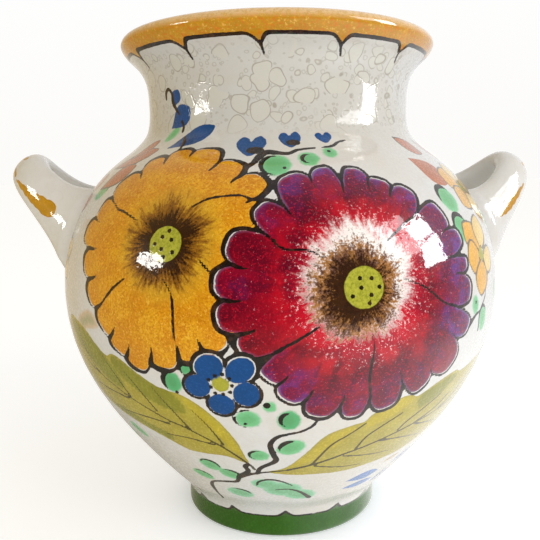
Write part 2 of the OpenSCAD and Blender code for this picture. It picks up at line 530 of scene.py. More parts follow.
# The two long leaves, in places: outline, strokes of another green, rib and veins.
LEFT_LEAF = [
    (-15.4, 54.8), (-15.9, 60), (-17.2, 69), (-20.3, 79), (-24.6, 87), (-28.9, 91.3), (-33.5, 92.6),
    (-39, 97.7), (-43.2, 102.3), (-46.8, 104.6), (-49.2, 103), (-52.3, 105.6), (-56.2, 111.5),
    (-61.6, 115.2), (-67, 116.5), (-70, 109), (-69, 95), (-66, 84), (-61.5, 76), (-56.4, 72),
    (-50.5, 69.3), (-43.5, 66), (-38.2, 62.8), (-33, 59), (-27, 58.6), (-21, 58.5),
]
LEFT_LEAF_STROKES = [
    (LEAF_GREEN, [(-30.5, 91), (-36, 94.2), (-42.5, 101), (-47.5, 103.6), (-47.2, 97), (-41.5, 89),
                  (-35, 83), (-28.5, 82)]),
    (LEAF_GREEN, [(-50, 102.5), (-56, 110.4), (-62, 114.2), (-66, 114), (-65, 105), (-58, 97),
                  (-51, 89.5), (-46.5, 88), (-46.5, 95)]),
    (LEAF_GREEN, [(-57, 73.5), (-50.5, 70.4), (-43.5, 67), (-37, 63.6), (-37, 67.5), (-45, 71.5),
                  (-53, 76)]),
    (LEAF_GOLD, [(-16.4, 61), (-18, 69), (-20.8, 78), (-24.6, 85.6), (-28.2, 89), (-25.5, 80),
                 (-21.5, 70.5), (-18, 62)]),
]
LEFT_LEAF_RIB = [(-13.9, 50.8), (-15.4, 54.6), (-21.3, 64.3), (-29.4, 72.6), (-34.3, 75.6),
                 (-39.8, 79.6), (-45.5, 83.7), (-50.6, 87.8), (-55.7, 91.8), (-59.5, 99), (-61, 107),
                 (-61, 113.5)]
LEFT_LEAF_VEINS = [
    [(-20.9, 66), (-23.5, 76), (-26.8, 84.1)],
    [(-29.1, 73.5), (-32.4, 82.7), (-36.1, 92.4)],
    [(-37.3, 80), (-40.5, 89.4), (-43.9, 97.4)],
    [(-45.1, 84.8), (-47.9, 93.6), (-51.5, 103)],
    [(-55.7, 91.6), (-60.5, 94.5), (-64, 100)],
    [(-23.6, 65.3), (-31, 67.2), (-38, 66.8)],
    [(-34.8, 73.7), (-42.1, 74.6), (-52.6, 73.9)],
    [(-46.5, 82.8), (-52.4, 83.9), (-60.5, 84.6)],
]

RIGHT_LEAF = [
    (-10, 49.4), (-4.5, 52.6), (0.8, 62), (4.1, 69.8), (7.1, 73.6), (11.9, 76.2), (14.6, 77.3),
    (16.2, 80.6), (19.5, 83.6), (23.6, 86.9), (26.4, 86.6), (28.4, 85.4), (32.6, 88.8), (37, 91.5),
    (41, 92.8), (44, 91.6), (50, 93.5), (57, 96), (63.5, 100.5), (66, 92), (62, 80), (55, 68),
    (47, 59), (39, 53), (33.8, 50.6), (24.2, 48.3), (14.8, 46.4), (5.5, 46.6), (-3.1, 47.2),
]
RIGHT_LEAF_STROKES = [
    (LEAF_GOLD, [(15.2, 77), (18.9, 82.3), (23.6, 86), (26.2, 85.8), (27, 83), (22, 77.5), (16.5, 73.8)]),
    (LEAF_GREEN, [(29.5, 85.5), (36, 89.5), (41.5, 91.4), (42, 88), (36, 81), (30.5, 78)]),
    (LEAF_GOLD, [(-4, 51.8), (0.8, 60), (4.3, 68), (8, 72.5), (13, 75), (10, 67.5), (4, 58)]),
]
RIGHT_LEAF_RIB = [(-4.1, 50.7), (4.5, 54.4), (11.9, 58.8), (17.8, 61.8), (23.9, 65), (31.4, 68.5),
                  (39.5, 71.4), (48, 75), (56, 82), (61, 92)]
RIGHT_LEAF_VEINS = [
    [(3.1, 54.2), (7, 65.2), (11, 70.5), (15.1, 76.2)],
    [(14.9, 61.6), (16.7, 67.9), (20.7, 73.3), (25.3, 78)],
    [(26.7, 67.7), (29.5, 73.2), (38.2, 82.6)],
    [(32.5, 69.5), (39, 74.8), (43, 81)],
    [(41, 72.5), (47, 79), (51.5, 87)],
    [(3.9, 52.7), (11.5, 50.2), (19.8, 49.2)],
    [(12.1, 57.4), (19.6, 55.5), (28.6, 54.2)],
    [(22.1, 63.3), (28.8, 62.2), (40.6, 58.6)],
    [(33.2, 68), (40, 65.8), (47, 63.2)],
]

# Stems: places along each, and the widths in mm that the brush changes through.
STEMS = [
    ([(2.9, 84), (1.9, 78.4), (-0.8, 75.1), (-4, 73.6), (-6.8, 71.9), (-8.6, 67.4), (-7.9, 61.4),
      (-7.5, 57), (-11.9, 52.2), (-13.5, 47.8)], [1.3, 1.3, 1.5, 2.2, 2.9, 2.7, 2.3, 1.9]),
    ([(-15.6, 54.2), (-16.6, 52.6), (-16.2, 49), (-19.6, 45), (-21.6, 40.3), (-26, 38.9), (-31.7, 37),
      (-34.6, 33), (-35.6, 26), (-35.6, 21)], [2.4, 2.6, 2.2, 2.0, 1.5, 2.4, 1.5, 1.2]),
    ([(-20.3, 43.6), (-16.5, 46.4), (-12, 48.6), (-4.1, 50.7)], [2.4, 1.8, 1.3, 0.9]),
]


def leaf(outline, strokes, rib, veins):
    """A long leaf with loose strokes of other greens and thin lines."""
    fill(curve(on_map(outline), closed=True, per=4), OLIVE)
    for colour, patch in strokes:
        fill(curve(on_map(patch), closed=True, per=4), colour)
    brush(curve(on_map(rib)), [1.5, 1.25, 1.1, 0.95, 0.7], thin=True)
    for vein in veins:
        brush(curve(on_map(vein)), [1.2, 1.0, 0.7], thin=True)


# ---------------------------------------------------------------- small dabs and small flowers

# Wet green dabs: place, half length, half width, tilt, colour, and the dark arcs on each as
# (start angle, end angle, width, how far out).
DABS = [
    ((-29.8, 96.6), 4.6, 5.0, 0, STRONG_GREEN, [(95, 235, 2.2, 0.98)]),
    ((-25.7, 104.4), 3.4, 4.2, 0, STRONG_GREEN, [(80, 250, 1.7, 0.95)]),
    ((-13.3, 81.4), 5.4, 4.7, -4, GREEN, [(85, 262, 1.4, 1.08)]),
    ((-8.2, 87.9), 2.8, 2.7, 0, GREEN, []),
    ((-4.0, 80.9), 4.8, 5.5, 10, STRONG_GREEN, [(75, 235, 1.9, 0.72)]),
    ((-12.0, 60.5), 4.8, 4.0, 0, GREEN, [(75, 245, 1.3, 0.86)]),
    ((-3.3, 65.6), 6.4, 5.0, 30, GREEN, [(50, 175, 2.2, 0.82)]),
    ((-28.4, 50.6), 5.4, 4.4, -32, GREEN, [(20, 190, 1.5, 0.9)]),
    ((-22.6, 45.6), 5.6, 4.2, -26, GREEN, [(15, 150, 1.5, 0.85)]),
    ((-34.4, 41.4), 5.6, 3.6, -28, GREEN, [(20, 160, 1.2, 0.85)]),
    ((-22.8, 30.4), 6.6, 5.0, -14, PALE_GREEN, [(25, 130, 1.5, 0.85)]),
    ((-11.4, 39.6), 6.8, 5.0, -8, PALE_GREEN, []),
    ((-5.4, 35.4), 9.2, 7.4, -12, PALE_GREEN, []),
    ((1.2, 30.8), 8.2, 5.6, -18, PALE_GREEN, []),
    ((-52.6, 62.2), 6.0, 3.4, -38, GREEN, []),
    ((-62.0, 55.0), 5.5, 3.6, 30, GREEN, [(20, 150, 1.3, 0.95)]),
    ((-6.6, 185.0), 6.6, 6.4, 8, GREEN, [(80, 262, 1.9, 0.92)]),
    ((2.8, 187.4), 4.6, 4.6, 0, GREEN, [(80, 265, 1.6, 0.62)]),
    ((9.8, 190.0), 3.2, 3.6, 0, GREEN, []),
    ((41.8, 169.8), 7.4, 6.2, -60, GREEN, [(100, 260, 2.4, 0.95)]),
    ((42.4, 157.2), 7.2, 5.8, -62, GREEN, [(80, 270, 2.2, 0.95)]),
    ((64.5, 160.0), 6.0, 5.0, -70, GREEN, [(100, 240, 1.4, 1.0)]),
    ((44.4, 122.4), 4.4, 3.2, -70, GREEN, []),
    ((49.6, 114.6), 6.4, 4.4, -70, GREEN, [(100, 250, 1.4, 1.0)]),
    ((62.0, 124.0), 6.0, 4.4, -50, GREEN, [(100, 250, 1.4, 1.0)]),
    ((-62.6, 174.2), 5.6, 4.4, 48, GREEN, [(-60, 60, 1.5, 1.0)]),
    ((-49.0, 199.8), 5.0, 2.8, 60, GREEN, []),
]
DAB_DOTS = [((-29.2, 92.0), 1.0), ((-14.0, 79.0), 0.9), ((-8.8, 88.6), 1.6), ((-4.2, 183.6), 0.9),
            ((9.6, 190.6), 0.9), ((44.6, 123.6), 0.9)]
# Loose dark arcs by the dabs: places, and the widths the brush changes through.
DAB_ARCS = [
    ([(-14.8, 38.4), (-13.5, 41.7), (-9.9, 43.5), (-5.7, 42), (-2.1, 38.7)], [0.9, 1.3, 1.7, 1.4, 1.0]),
    ([(-8.1, 35.2), (-3.3, 35.6), (1.2, 32.9), (5.7, 27.4)], [1.0, 1.5, 1.8, 2.6]),
    ([(50.6, 131), (50.4, 125), (47.4, 118.5), (47.6, 109)], [1.2, 1.0, 1.5, 1.2]),
    ([(42.6, 114.4), (45.0, 117.6), (47.6, 118.8)], [2.4, 1.6, 1.0]),
]

# Small painted leaves and petals by colour: pointed end, round end, half width, outline width.
LEAFLETS = [
    (BROWN_LEAF, [
        ((-69.0, 184.4), (-50.4, 193.0), 5.6, 1.2), ((-65.5, 175.0), (-53.6, 185.6), 6.4, 1.2),
        ((-78.0, 174.5), (-68.5, 181.0), 5.2, 1.1), ((-76.0, 163.0), (-69.5, 172.0), 5.2, 1.1),
        ((-63.0, 189.0), (-55.0, 197.5), 3.6, 0.8), ((41.5, 198.0), (51.0, 190.4), 5.8, 1.0),
        ((37.6, 188.0), (48.2, 176.4), 8.0, 0.0), ((57.5, 197.0), (67.5, 188.0), 5.6, 1.0),
    ]),
    (BLUE, [
        ((-52.2, 212.6), (-48.4, 220.4), 3.4, 0.0), ((-51.8, 202.6), (-42.4, 212.2), 5.6, 0.0),
        ((-46.5, 193.0), (-29.6, 202.8), 5.2, 0.0),
    ]),
    (SOFT_BLUE, [
        ((18.5, 36.4), (32.5, 38.8), 4.2, 0.0), ((19.0, 30.0), (34.0, 32.0), 3.2, 0.0),
        ((35.5, 27.5), (42.5, 36.0), 3.2, 0.0), ((38.5, 40.5), (46.5, 47.0), 3.4, 0.0),
    ]),
    (TAN, [((31.0, 44.5), (37.6, 48.0), 1.8, 0.0)]),
]

# Blue hearts over the crimson flower: place, width, height and the stain on each.
HEARTS = [((-14.6, 193.0), 13.8, 14.0, (2.4, -3.0, 2.6)), ((-2.0, 195.6), 10.2, 10.4, (1.4, -1.8, 2.1)),
          ((9.8, 196.6), 8.0, 7.0, (0.6, -0.6, 0))]
# Vines that carry the hearts and the blue sprig, given as the loose arcs are.
VINES = [
    ([(-14.1, 184), (-12.5, 186), (-11.1, 188.8), (-8.6, 190.4), (-3.2, 189.6), (0.2, 191.2),
      (5.5, 192.0)], [2.0, 3.0, 3.6, 2.6, 2.0, 1.6, 1.3]),
    ([(8, 192.2), (11.8, 193), (13.9, 194.5), (17.3, 195.7)], [1.0, 1.7, 1.3, 1.0]),
    ([(-56.6, 216.6), (-56.4, 220.0), (-54.4, 221.0), (-52.3, 218.6), (-52.0, 215.0), (-49.6, 211.0),
      (-47.8, 209.0)], [1.2, 2.0, 1.5, 1.8, 2.2, 1.6, 1.0]),
    ([(-46.0, 205.6), (-44.6, 203.6), (-44.2, 201.0)], [1.6, 1.3, 1.7]),
    ([(-41.6, 198.4), (-40.0, 195.4), (-39.6, 193.0)], [1.2, 2.0, 1.3]),
]

BLUE_PLACE = (-18.4, 97.7)
# Petals of the blue flower: clock angle, distance of the petal's middle, half length, half width.
BLUE_PETALS = [(330, 8.6, 5.7, 6.3), (51, 10.7, 6.6, 5.2), (261, 10.4, 5.8, 5.4), (113, 11.2, 5.5, 5.9),
               (185, 10.3, 5.4, 5.7)]


def blue_flower():
    petals = []
    for angle, reach, long_half, wide_half in BLUE_PETALS:
        spot = spot_of(BLUE_PLACE, polar(angle, reach))
        petals.append((spot, long_half, wide_half, 90 - angle))
        bare = 1.0 if angle > 200 else 2.2
        cut(oval(spot, long_half + bare, wide_half + bare, 90 - angle))
    for spot, long_half, wide_half, tilt in petals:
        gap = 1.5 if spot[1] > BLUE_PLACE[1] + 3 else 0.5
        brush(oval_arc(spot, long_half + gap, wide_half + gap, tilt, -128, 128),
              [1.1, 1.7, 1.8, 2.0, 1.9, 1.6, 0.9])
    for spot, long_half, wide_half, tilt in petals:
        fill(oval(spot, long_half, wide_half, tilt), BLUE)
    fill(oval(BLUE_PLACE, 3.6, 3.4, 0), LIME)
    for k in range(9):
        dot(round_place(BLUE_PLACE, polar(12 + 40*k, 4.9 + 0.4*math.sin(3*k))), 1.0)


# Small yellow flowers beside the handles: place, and each petal's clock angle, reach and half width.
SMALL_FLOWERS = [
    ((57.0, 174.6), [(300, 19, 7.6), (8, 17, 6.4), (235, 17, 7.0), (165, 18, 7.2), (80, 16, 6.4)]),
    ((49.4, 144.4), [(322, 20, 7.2), (20, 20, 7.0), (266, 15, 8.0), (190, 19, 7.4), (110, 16, 6.6)]),
    ((-75.0, 146.0), [(10, 16, 5.4), (80, 15, 5.4), (150, 16, 5.6), (225, 15, 5.4), (300, 16, 5.6)]),
    ((74.0, 112.0), [(20, 15, 5.4), (92, 15, 5.4), (165, 16, 5.6), (235, 15, 5.4), (305, 16, 5.6)]),
]


def small_flower(place, petals):
    for angle, reach, half_width in petals:
        start, end = (spot_of(place, polar(angle, r)) for r in (2.0, reach))
        path = petal(start, end, half_width, 1.1)
        fill(path, SMALL_YELLOW if angle > 180 else PALE_YELLOW)
        brush(np.vstack([path, path[:1]]), [1.2, 1.0, 1.3], thin=True, tone=0.5)
    fill(oval(place, 3.2, 3.0, 0), LIME)
    for k in range(5):
        dot(round_place(place, polar(k*72 + 20, 3.6)), 0.8)


def spot_of(place, offset):
    """The place at an offset (right, up) in mm from another."""
    x, y = round_place(place, offset)[0]
    return math.degrees(x/BELLY_R), float(np.interp(y, MAP_Y[:SIDE_ROW], ROW_Z[:SIDE_ROW]))


def blue_heart(place, width, height, stain):
    """A heart of two touching dabs, with a black stain: its offset right and up, and its size."""
    w, h = width/2, height/2
    half = [(0, 0.45*h), (0.22*w, 0.85*h), (0.6*w, h), (0.95*w, 0.6*h), (0.92*w, 0), (0.5*w, -0.65*h)]
    outline = half + [(0.05*w, -h)] + [(-x*0.96, y*0.92) for x, y in half[:0:-1]]
    fill(curve(round_place(place, outline), closed=True, per=5), BLUE)
    right, up, size = stain
    if size:
        for k in range(3):
            dot(round_place(place, (right + (k - 1)*size*0.6, up)), size*(1 - 0.15*abs(k - 1)))


# ---------------------------------------------------------------- the painting, from back to front

def bouquet():
    wash(curve(on_map([(-60.5, 117), (-53.8, 122.5), (-50.5, 116), (-55.6, 113.4), (-59, 112)]),
               closed=True), TAN)
    for place, long_half, wide_half, tilt, colour, arcs in DABS:
        wash(oval(place, long_half, wide_half, tilt), colour)
        for start, end, width, out in arcs:
            path = oval_arc(place, long_half*out, wide_half*out, tilt, start, end)
            brush(path, [0.5, width, 1.15*width, 0.8*width, 0.5])
    leaf(LEFT_LEAF, LEFT_LEAF_STROKES, LEFT_LEAF_RIB, LEFT_LEAF_VEINS)
    leaf(RIGHT_LEAF, RIGHT_LEAF_STROKES, RIGHT_LEAF_RIB, RIGHT_LEAF_VEINS)
    for places, widths in STEMS:
        brush(curve(on_map(places)), widths)
    for colour, leaflets in LEAFLETS:
        for start, end, half_width, line in leaflets:
            path = petal(start, end, half_width)
            fill(path, colour)
            if line:
                brush(np.vstack([path, path[:1]]), [line, 0.6*line, line], thin=True, tone=0.3)
    for place, width, height, stain in HEARTS:
        blue_heart(place, width, height, stain)
    for places, widths in VINES + DAB_ARCS:
        brush(curve(on_map(places)), widths)
    for place, radius in DAB_DOTS:
        dot(on_map([place]), radius)
    for place, petals in SMALL_FLOWERS:
        small_flower(place, petals)
    big_flower(YELLOW_PLACE, YELLOW_DISC, YELLOW_LOBES, YELLOW, 1, 0.1, YELLOW_BOLD, YELLOW_HABIT,
               YELLOW_SPLITS, YELLOW_DOTS)
    big_flower(CRIMSON_PLACE, CRIMSON_DISC, CRIMSON_LOBES, CRIMSON, 2, 0.7, CRIMSON_BOLD, CRIMSON_HABIT,
               CRIMSON_SPLITS, CRIMSON_DOTS)
    blue_flower()


def repeat_behind():
    """Paints the back as the mirror of the front, so that the two meet at the handles."""
    behind = np.abs(AZIMUTH) > math.pi/2 + 1e-9
    twin = np.sign(AZIMUTH[behind])*math.pi - AZIMUTH[behind]
    source = np.round((twin + math.pi)/(2*math.pi)*SEGMENTS).astype(int) % SEGMENTS
    for layer in (fill_edge, fill_rgb, wash_edge, wash_rgb, ink, fine, fine_tone, heart, tip_tint):
        layer[:, behind] = layer[:, source]


def dip(t, drop, rise, fall):
    """How far a scalloped line falls at fractions t of the way from one cusp to the next."""
    return drop*(np.clip(1 - t/rise, 0, 1)**2 + np.clip((t - 1 + fall)/fall, 0, 1)**2)


def scallops(cusps, crest, drop, tail, rise, fall, up):
    """Map paths of a scalloped line, one stroke from each cusp to the next."""
    t = np.linspace(0, 1, 26)
    z = crest - up*dip(t, drop, rise, fall)
    for a, b in zip(cusps, cusps[1:]):
        places = np.stack([a + (b - a)*t, z], 1)
        if tail:
            places = np.vstack([places, [b + 0.9, z[-1] - up*tail]])
        yield on_map(places)


RIM_CUSPS = [16.4 + 360/13*k for k in range(-7, 7)]
FOOT_CUSPS = [-3.9 + 360/13*k + 2.6*math.sin(2.4*k) for k in range(-7, 7)]


def band(line_height, above, colour):
    """A painted band that runs right round, above or below a line of heights by azimuth."""
    heights = line_height(np.degrees(AZIMUTH))
    y = np.interp(heights, ROW_Z[:SIDE_ROW], MAP_Y[:SIDE_ROW])
    gap = (MAP_Y[:, None] - y[None, :]) * MAP_SCALE[:, None]
    edge = -gap if above else gap
    fill_edge[:] = np.where(edge < fill_edge, np.clip(edge, -FAR, FAR), fill_edge)
    near = edge < 2
    fill_rgb[near] = colour
    heart[near] = 0


def wave(cusps, crest, drop, rise, fall, up):
    """The scalloped line's height at any azimuth in degrees, as a function."""
    cusps = np.array(cusps)

    def height(azimuth):
        a = (azimuth - cusps[0]) % 360 + cusps[0]
        i = np.clip(np.searchsorted(cusps, a, side="right") - 1, 0, len(cusps) - 2)
        return crest - up*dip((a - cusps[i])/(cusps[i + 1] - cusps[i]), drop, rise, fall)
    return height


def wrapped_brush(path, widths):
    """Brushes a line, and again one turn round if it crosses the join at the back."""
    turn = 2*math.pi*BELLY_R
    for shift in (-turn, 0, turn):
        moved = path + [shift, 0]
        if moved[:, 0].max() > MAP_X[0] - 5 and moved[:, 0].min() < MAP_X[-1] + 5:
            brush(moved, widths)


def painted_band(cusps, above, colour, tail, widths, **shape):
    """A band of colour above or below a scalloped line, and the line itself."""
    band(wave(cusps, **shape), above, colour)
    for path in scallops(cusps, tail=tail, **shape):
        wrapped_brush(path, widths)


def bands():
    painted_band(RIM_CUSPS, True, OCHRE, 3.4, [1.2, 2.2, 1.9, 2.1, 1.8, 1.8, 1.6, 1.1],
                 crest=239.8, drop=4.0, rise=0.10, fall=0.20, up=1)
    painted_band(FOOT_CUSPS, False, FOOT_GREEN, 0, [1.7, 1.1, 0.9, 1.1, 1.7],
                 crest=11.6, drop=3.4, rise=0.22, fall=0.22, up=-1)


bouquet()
repeat_behind()
bands()


# ---------------------------------------------------------------- meshes

def grid_points(line, every=1):
    """Points of a turned surface: one row per point of the line, a column at every so many divisions."""
    az = AZIMUTH[None, ::every]
    z = line[:, 1][:, None]
    away = np.where(line[:, 0] > 5, 1.0, 0.0)[:, None]
    r = line[:, 0][:, None] + away*unevenness(az, z)
    return np.stack([r*np.sin(az), -r*np.cos(az), np.broadcast_to(z, r.shape)], -1)


def outer_normals():
    """Smooth normals of the whole outer surface, so that its sections meet without a crease."""
    p = grid_points(LINE)
    around = np.roll(p, -1, axis=1) - np.roll(p, 1, axis=1)
    up = np.gradient(p, axis=0)
    n = np.cross(around, up)
    return n / np.linalg.norm(n, axis=-1, keepdims=True)


NORMALS = outer_normals()
# What each point of the outside carries for its material, and what a plain point carries.
FIELDS = {
    "fill": fill_rgb, "wash": wash_rgb, "heart": heart,
    "edges": np.stack([fill_edge, wash_edge, fine_tone], -1),
    "lines": np.stack([ink, fine, tip_tint], -1),
}
PLAIN = {"fill": (0, 0, 0), "wash": (0, 0, 0), "heart": (0, 0, 0), "edges": (FAR, FAR, 0),
         "lines": (-FAR, -FAR, 0)}


def stand_for(piece, node):
    """Shows a piece in place of a CAD node, which it hides, and hangs it on the one body there is."""
    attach(piece, "root")
    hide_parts(node)


def add_piece(name, points, faces, corners, values, materials, which=None):
    """A smooth mesh of quads with a UV place for each corner, the fields for its materials, and which
    material each face has."""
    mesh = bpy.data.meshes.new(name)
    mesh.from_pydata([], [], [])
    mesh.vertices.add(len(points))
    mesh.vertices.foreach_set("co", (points*MM).astype(np.float32).ravel())
    mesh.loops.add(faces.size)
    mesh.loops.foreach_set("vertex_index", faces.astype(np.int32).ravel())
    mesh.polygons.add(len(faces))
    mesh.polygons.foreach_set("loop_start", np.arange(0, faces.size, 4, dtype=np.int32))
    mesh.polygons.foreach_set("loop_total", np.full(len(faces), 4, dtype=np.int32))
    mesh.update(calc_edges=True)
    mesh.polygons.foreach_set("use_smooth", np.ones(len(faces), bool))
    for each in materials:
        mesh.materials.append(each)
    if which is not None:
        mesh.polygons.foreach_set("material_index", which.astype(np.int32))
    for key, data in values.items():
        field = mesh.attributes.new(key, "FLOAT_VECTOR", "POINT")
        field.data.foreach_set("vector", np.ascontiguousarray(data, np.float32).ravel())
    mesh.uv_layers.new(name="OFBake").data.foreach_set("uv", corners.astype(np.float32).ravel())
    piece = bpy.data.objects.new(name, mesh)
    bpy.context.scene.collection.objects.link(piece)
    return piece


def inset(t):
    """Fractions of the way across the UV square, kept inside its margin."""
    return UV_MARGIN + (1 - 2*UV_MARGIN)*t


UV_MARGIN = 0.01
UV_PLAIN = 0.13       # height that a piece's plain sheets share in the UV square
UV_HALF = 0.42        # height of the front half or the back half of its painted sheet
UV_FILL = 0.985       # how much of that height the painted sheet takes


def strip(rows, first, cols):
    """Quads between successive rows, and each quad's row and column."""
    row, col = (part.ravel() for part in np.indices((rows - 1, cols)))
    low, after = first + row*cols, (col + 1) % cols
    high = low + cols
    return np.stack([low + col, low + after, high + after, high + col], -1), row, col


def turned_piece(name, node, parts):
    """A turned piece from parts, each a line with the first painted row or None, and a material index.

    Parts are separate sheets whose edges meet, so that a sharp edge stays sharp. In the UV square each
    sheet is cut into a front and a back half, one above the other."""
    points, faces, corners, which, normals = [], [], [], [], []
    values = {key: [] for key in PLAIN}
    plain_count = sum(start is None for _, start, _ in parts)
    plain_height = (UV_PLAIN - UV_MARGIN)/plain_count
    count = plain = 0
    for line, start, index in parts:
        every = PLAIN_EVERY if start is None else 1
        cols = SEGMENTS//every
        grid = grid_points(line, every)
        quads, row, col = strip(len(line), count, cols)
        lap, across = np.divmod(col, cols//2)
        u0, u1 = (inset((across + k)/(cols//2)) for k in (0, 1))
        v0, v1 = ((row + k)/(len(line) - 1) for k in (0, 1))
        if start is None:
            here = {key: np.broadcast_to(np.array(value, float), grid.shape) for key, value in PLAIN.items()}
            normals.append(np.zeros((grid.shape[0]*cols, 3)))
            base = UV_MARGIN + UV_PLAIN*plain/plain_count
            v0, v1 = (base + (v + lap)*plain_height/2 for v in (v0, v1))
            plain += 1
        else:
            rows = slice(start, start + len(line))
            here = {key: field[rows] for key, field in FIELDS.items()}
            normals.append(NORMALS[rows].reshape(-1, 3))
            v0, v1 = (UV_PLAIN + 2*UV_MARGIN + (v*UV_FILL + lap)*UV_HALF for v in (v0, v1))
        for key in PLAIN:
            values[key].append(here[key].reshape(-1, 3))
        points.append(grid.reshape(-1, 3))
        faces.append(quads)
        which.append(np.full(len(quads), index))
        corners.append(np.stack([u0, v0, u1, v0, u1, v1, u0, v1], -1))
        count += grid.shape[0]*cols
    piece = add_piece(name, np.vstack(points), np.vstack(faces), np.vstack(corners),
                      {key: np.vstack(data) for key, data in values.items()}, MATERIALS,
                      np.concatenate(which))
    piece.data.normals_split_custom_set_from_vertices(np.vstack(normals).tolist())
    stand_for(piece, node)


def joint(a, b, count=4):
    """A short straight line between two outline points."""
    return np.linspace(a, b, count)


def painted(section):
    start, end = SPAN[section]
    return LINE[start:end], start


# ---------------------------------------------------------------- handles

HANDLE = dict(low_root=(106, 132), low_bend=(119, 153.5), low_tip=(137.5, 178.5),
              high_root=(87, 171.5), high_bend=(111.5, 174.5), high_tip=(122, 191.2))
ARM_Y = 23.0          # half of the distance between the middles of the two arms
TIP_HALF_T = 7.0      # half thickness of the strap at the tip of the loop
ARM_HALF_T = 5.5      # half thickness of its arms
ROOT_FLARE = 4.5      # how much that grows towards the roots
PRESS_FLARE = 3.2     # how much more where the clay is pressed onto the wall
PRESS_REACH = 6.5     # how far from the wall this is still felt
FIRST_TURN = 6        # degrees round the loop where the strap starts, inside the wall
RIGHT_ROLL = 0.14     # rise of the right handle for each mm towards its far arm
ALONG = 134           # rings along a handle
ROUND = 72            # points round its section


def handle_edges(s):
    """The strap's low and high edges as (away from the axis, height), s of the way out to the tip."""
    def one(which):
        a, b, c = (np.array(HANDLE[which + end]) for end in ("_root", "_bend", "_tip"))
        return (1 - s)**2*a + 2*s*(1 - s)*b + s*s*c
    return one("low"), one("high")


def handle_middle(turn, roll):
    """The middle of the strap at a turn round its loop, from 0 at one root to pi at the other."""
    low_edge, high_edge = handle_edges(math.sin(turn))
    m = (low_edge + high_edge)/2
    y = ARM_Y*math.cos(turn)
    return np.array([m[0], y, m[1] + roll*y])


def handle_ring(turn, roll):
    """One ring of a strap handle, which spreads where it is pressed onto the wall."""
    s = math.sin(turn)
    low_edge, high_edge = handle_edges(s)
    across = high_edge - low_edge
    half_w = np.array([across[0], 0, across[1]])/2
    middle = handle_middle(turn, roll)
    run = handle_middle(turn + 0.01, roll) - handle_middle(turn - 0.01, roll)
    side = np.cross(half_w, run)
    side /= np.linalg.norm(side)
    clear = math.hypot(middle[0], middle[1]) - outer_wall(middle[2])[0][0]
    spread = math.exp(-max(clear, 0)/PRESS_REACH)
    half_t = (ARM_HALF_T + (TIP_HALF_T - ARM_HALF_T)*s*s + ROOT_FLARE*(1 - s)**2
              + PRESS_FLARE*spread)
    widen = 1 + 0.10*spread
    a = np.linspace(0, 2*math.pi, ROUND, endpoint=False)[:, None]
    return middle + widen*np.cos(a)*half_w + half_t*np.sin(a)*side


def handle_grid(roll, mirror):
    """Rings along a handle, slightly uneven, with a tiny one at each end that closes it."""
    turns = np.radians(np.linspace(FIRST_TURN, 180 - FIRST_TURN, ALONG - 2))
    rings = np.array([handle_ring(t, roll) for t in turns])
    wobble = 0.25*np.sin(rings[..., 1]/7 + rings[..., 2]/11)
    centre = rings.mean(1, keepdims=True)
    rings = centre + (rings - centre)*(1 + wobble[..., None]/9)
    rings[..., 0] *= mirror
    first, last = (ring.mean(0) + (ring - ring.mean(0))*0.01 for ring in (rings[0], rings[-1]))
    return np.concatenate([[first], rings, [last]])


def stroke_on(rings, stops, widths, colour, values):
    """A brush stroke along a handle, through stops given as fractions along and round it."""
    stops = np.array(stops, float)
    path = curve(stops, per=10)
    k = 1 + np.clip(path[:, 0]*(ALONG - 3), 0, ALONG - 3).astype(int)
    j = (path[:, 1]*ROUND).astype(int) % ROUND
    line = rings[k, j]
    half = np.interp(np.linspace(0, 1, len(line)), np.linspace(0, 1, len(widths)), widths)/2
    flat = rings.reshape(-1, 3)
    reach = np.full(len(flat), FAR)
    for a, b, w0, w1 in zip(line, line[1:], half, half[1:]):
        d = b - a
        t = np.clip(((flat - a) @ d)/max(d @ d, 1e-9), 0, 1)
        reach = np.minimum(reach, np.linalg.norm(flat - a - t[:, None]*d, axis=1) - (w0 + (w1 - w0)*t))
    values["edges"][:, 0] = np.minimum(values["edges"][:, 0], reach)
    values["fill"][reach < 3] = colour


def handle_piece(name, node, roll, mirror, strokes):
    """A handle with its brush strokes. Roll tips it towards its far arm, and mirror is -1 on the left."""
    rings = handle_grid(roll, mirror)
    quads, row, col = strip(ALONG, 0, ROUND)
    u0, u1 = (inset((row + k)/(ALONG - 1)) for k in (0, 1))
    v0, v1 = (inset((col + k)/ROUND) for k in (0, 1))
    corners = np.stack([u0, v0, u0, v1, u1, v1, u1, v0], -1)
    if mirror > 0:
        quads = quads[:, ::-1]
        corners = corners.reshape(-1, 4, 2)[:, ::-1]
    points = rings.reshape(-1, 3)
    values = {key: np.tile(np.array(value, float), (len(points), 1)) for key, value in PLAIN.items()}
    for stops, widths in strokes:
        stroke_on(rings, stops, widths, OCHRE, values)
    stand_for(add_piece(name, points, quads, corners, values, [GLAZE]), node)


# ---------------------------------------------------------------- materials

class Value:
    """What a node gives. A sum with it adds one Math node."""

    def __init__(self, nodes, socket):
        self.nodes = nodes
        self.socket = socket

    def __add__(self, other):
        return self.nodes.math("ADD", self, other)

    def __sub__(self, other):
        return self.nodes.math("SUBTRACT", self, other)

    def __rsub__(self, other):
        return self.nodes.math("SUBTRACT", other, self)

    def __mul__(self, other):
        return self.nodes.math("MULTIPLY", self, other)

    def __rtruediv__(self, other):
        return self.nodes.math("DIVIDE", other, self)


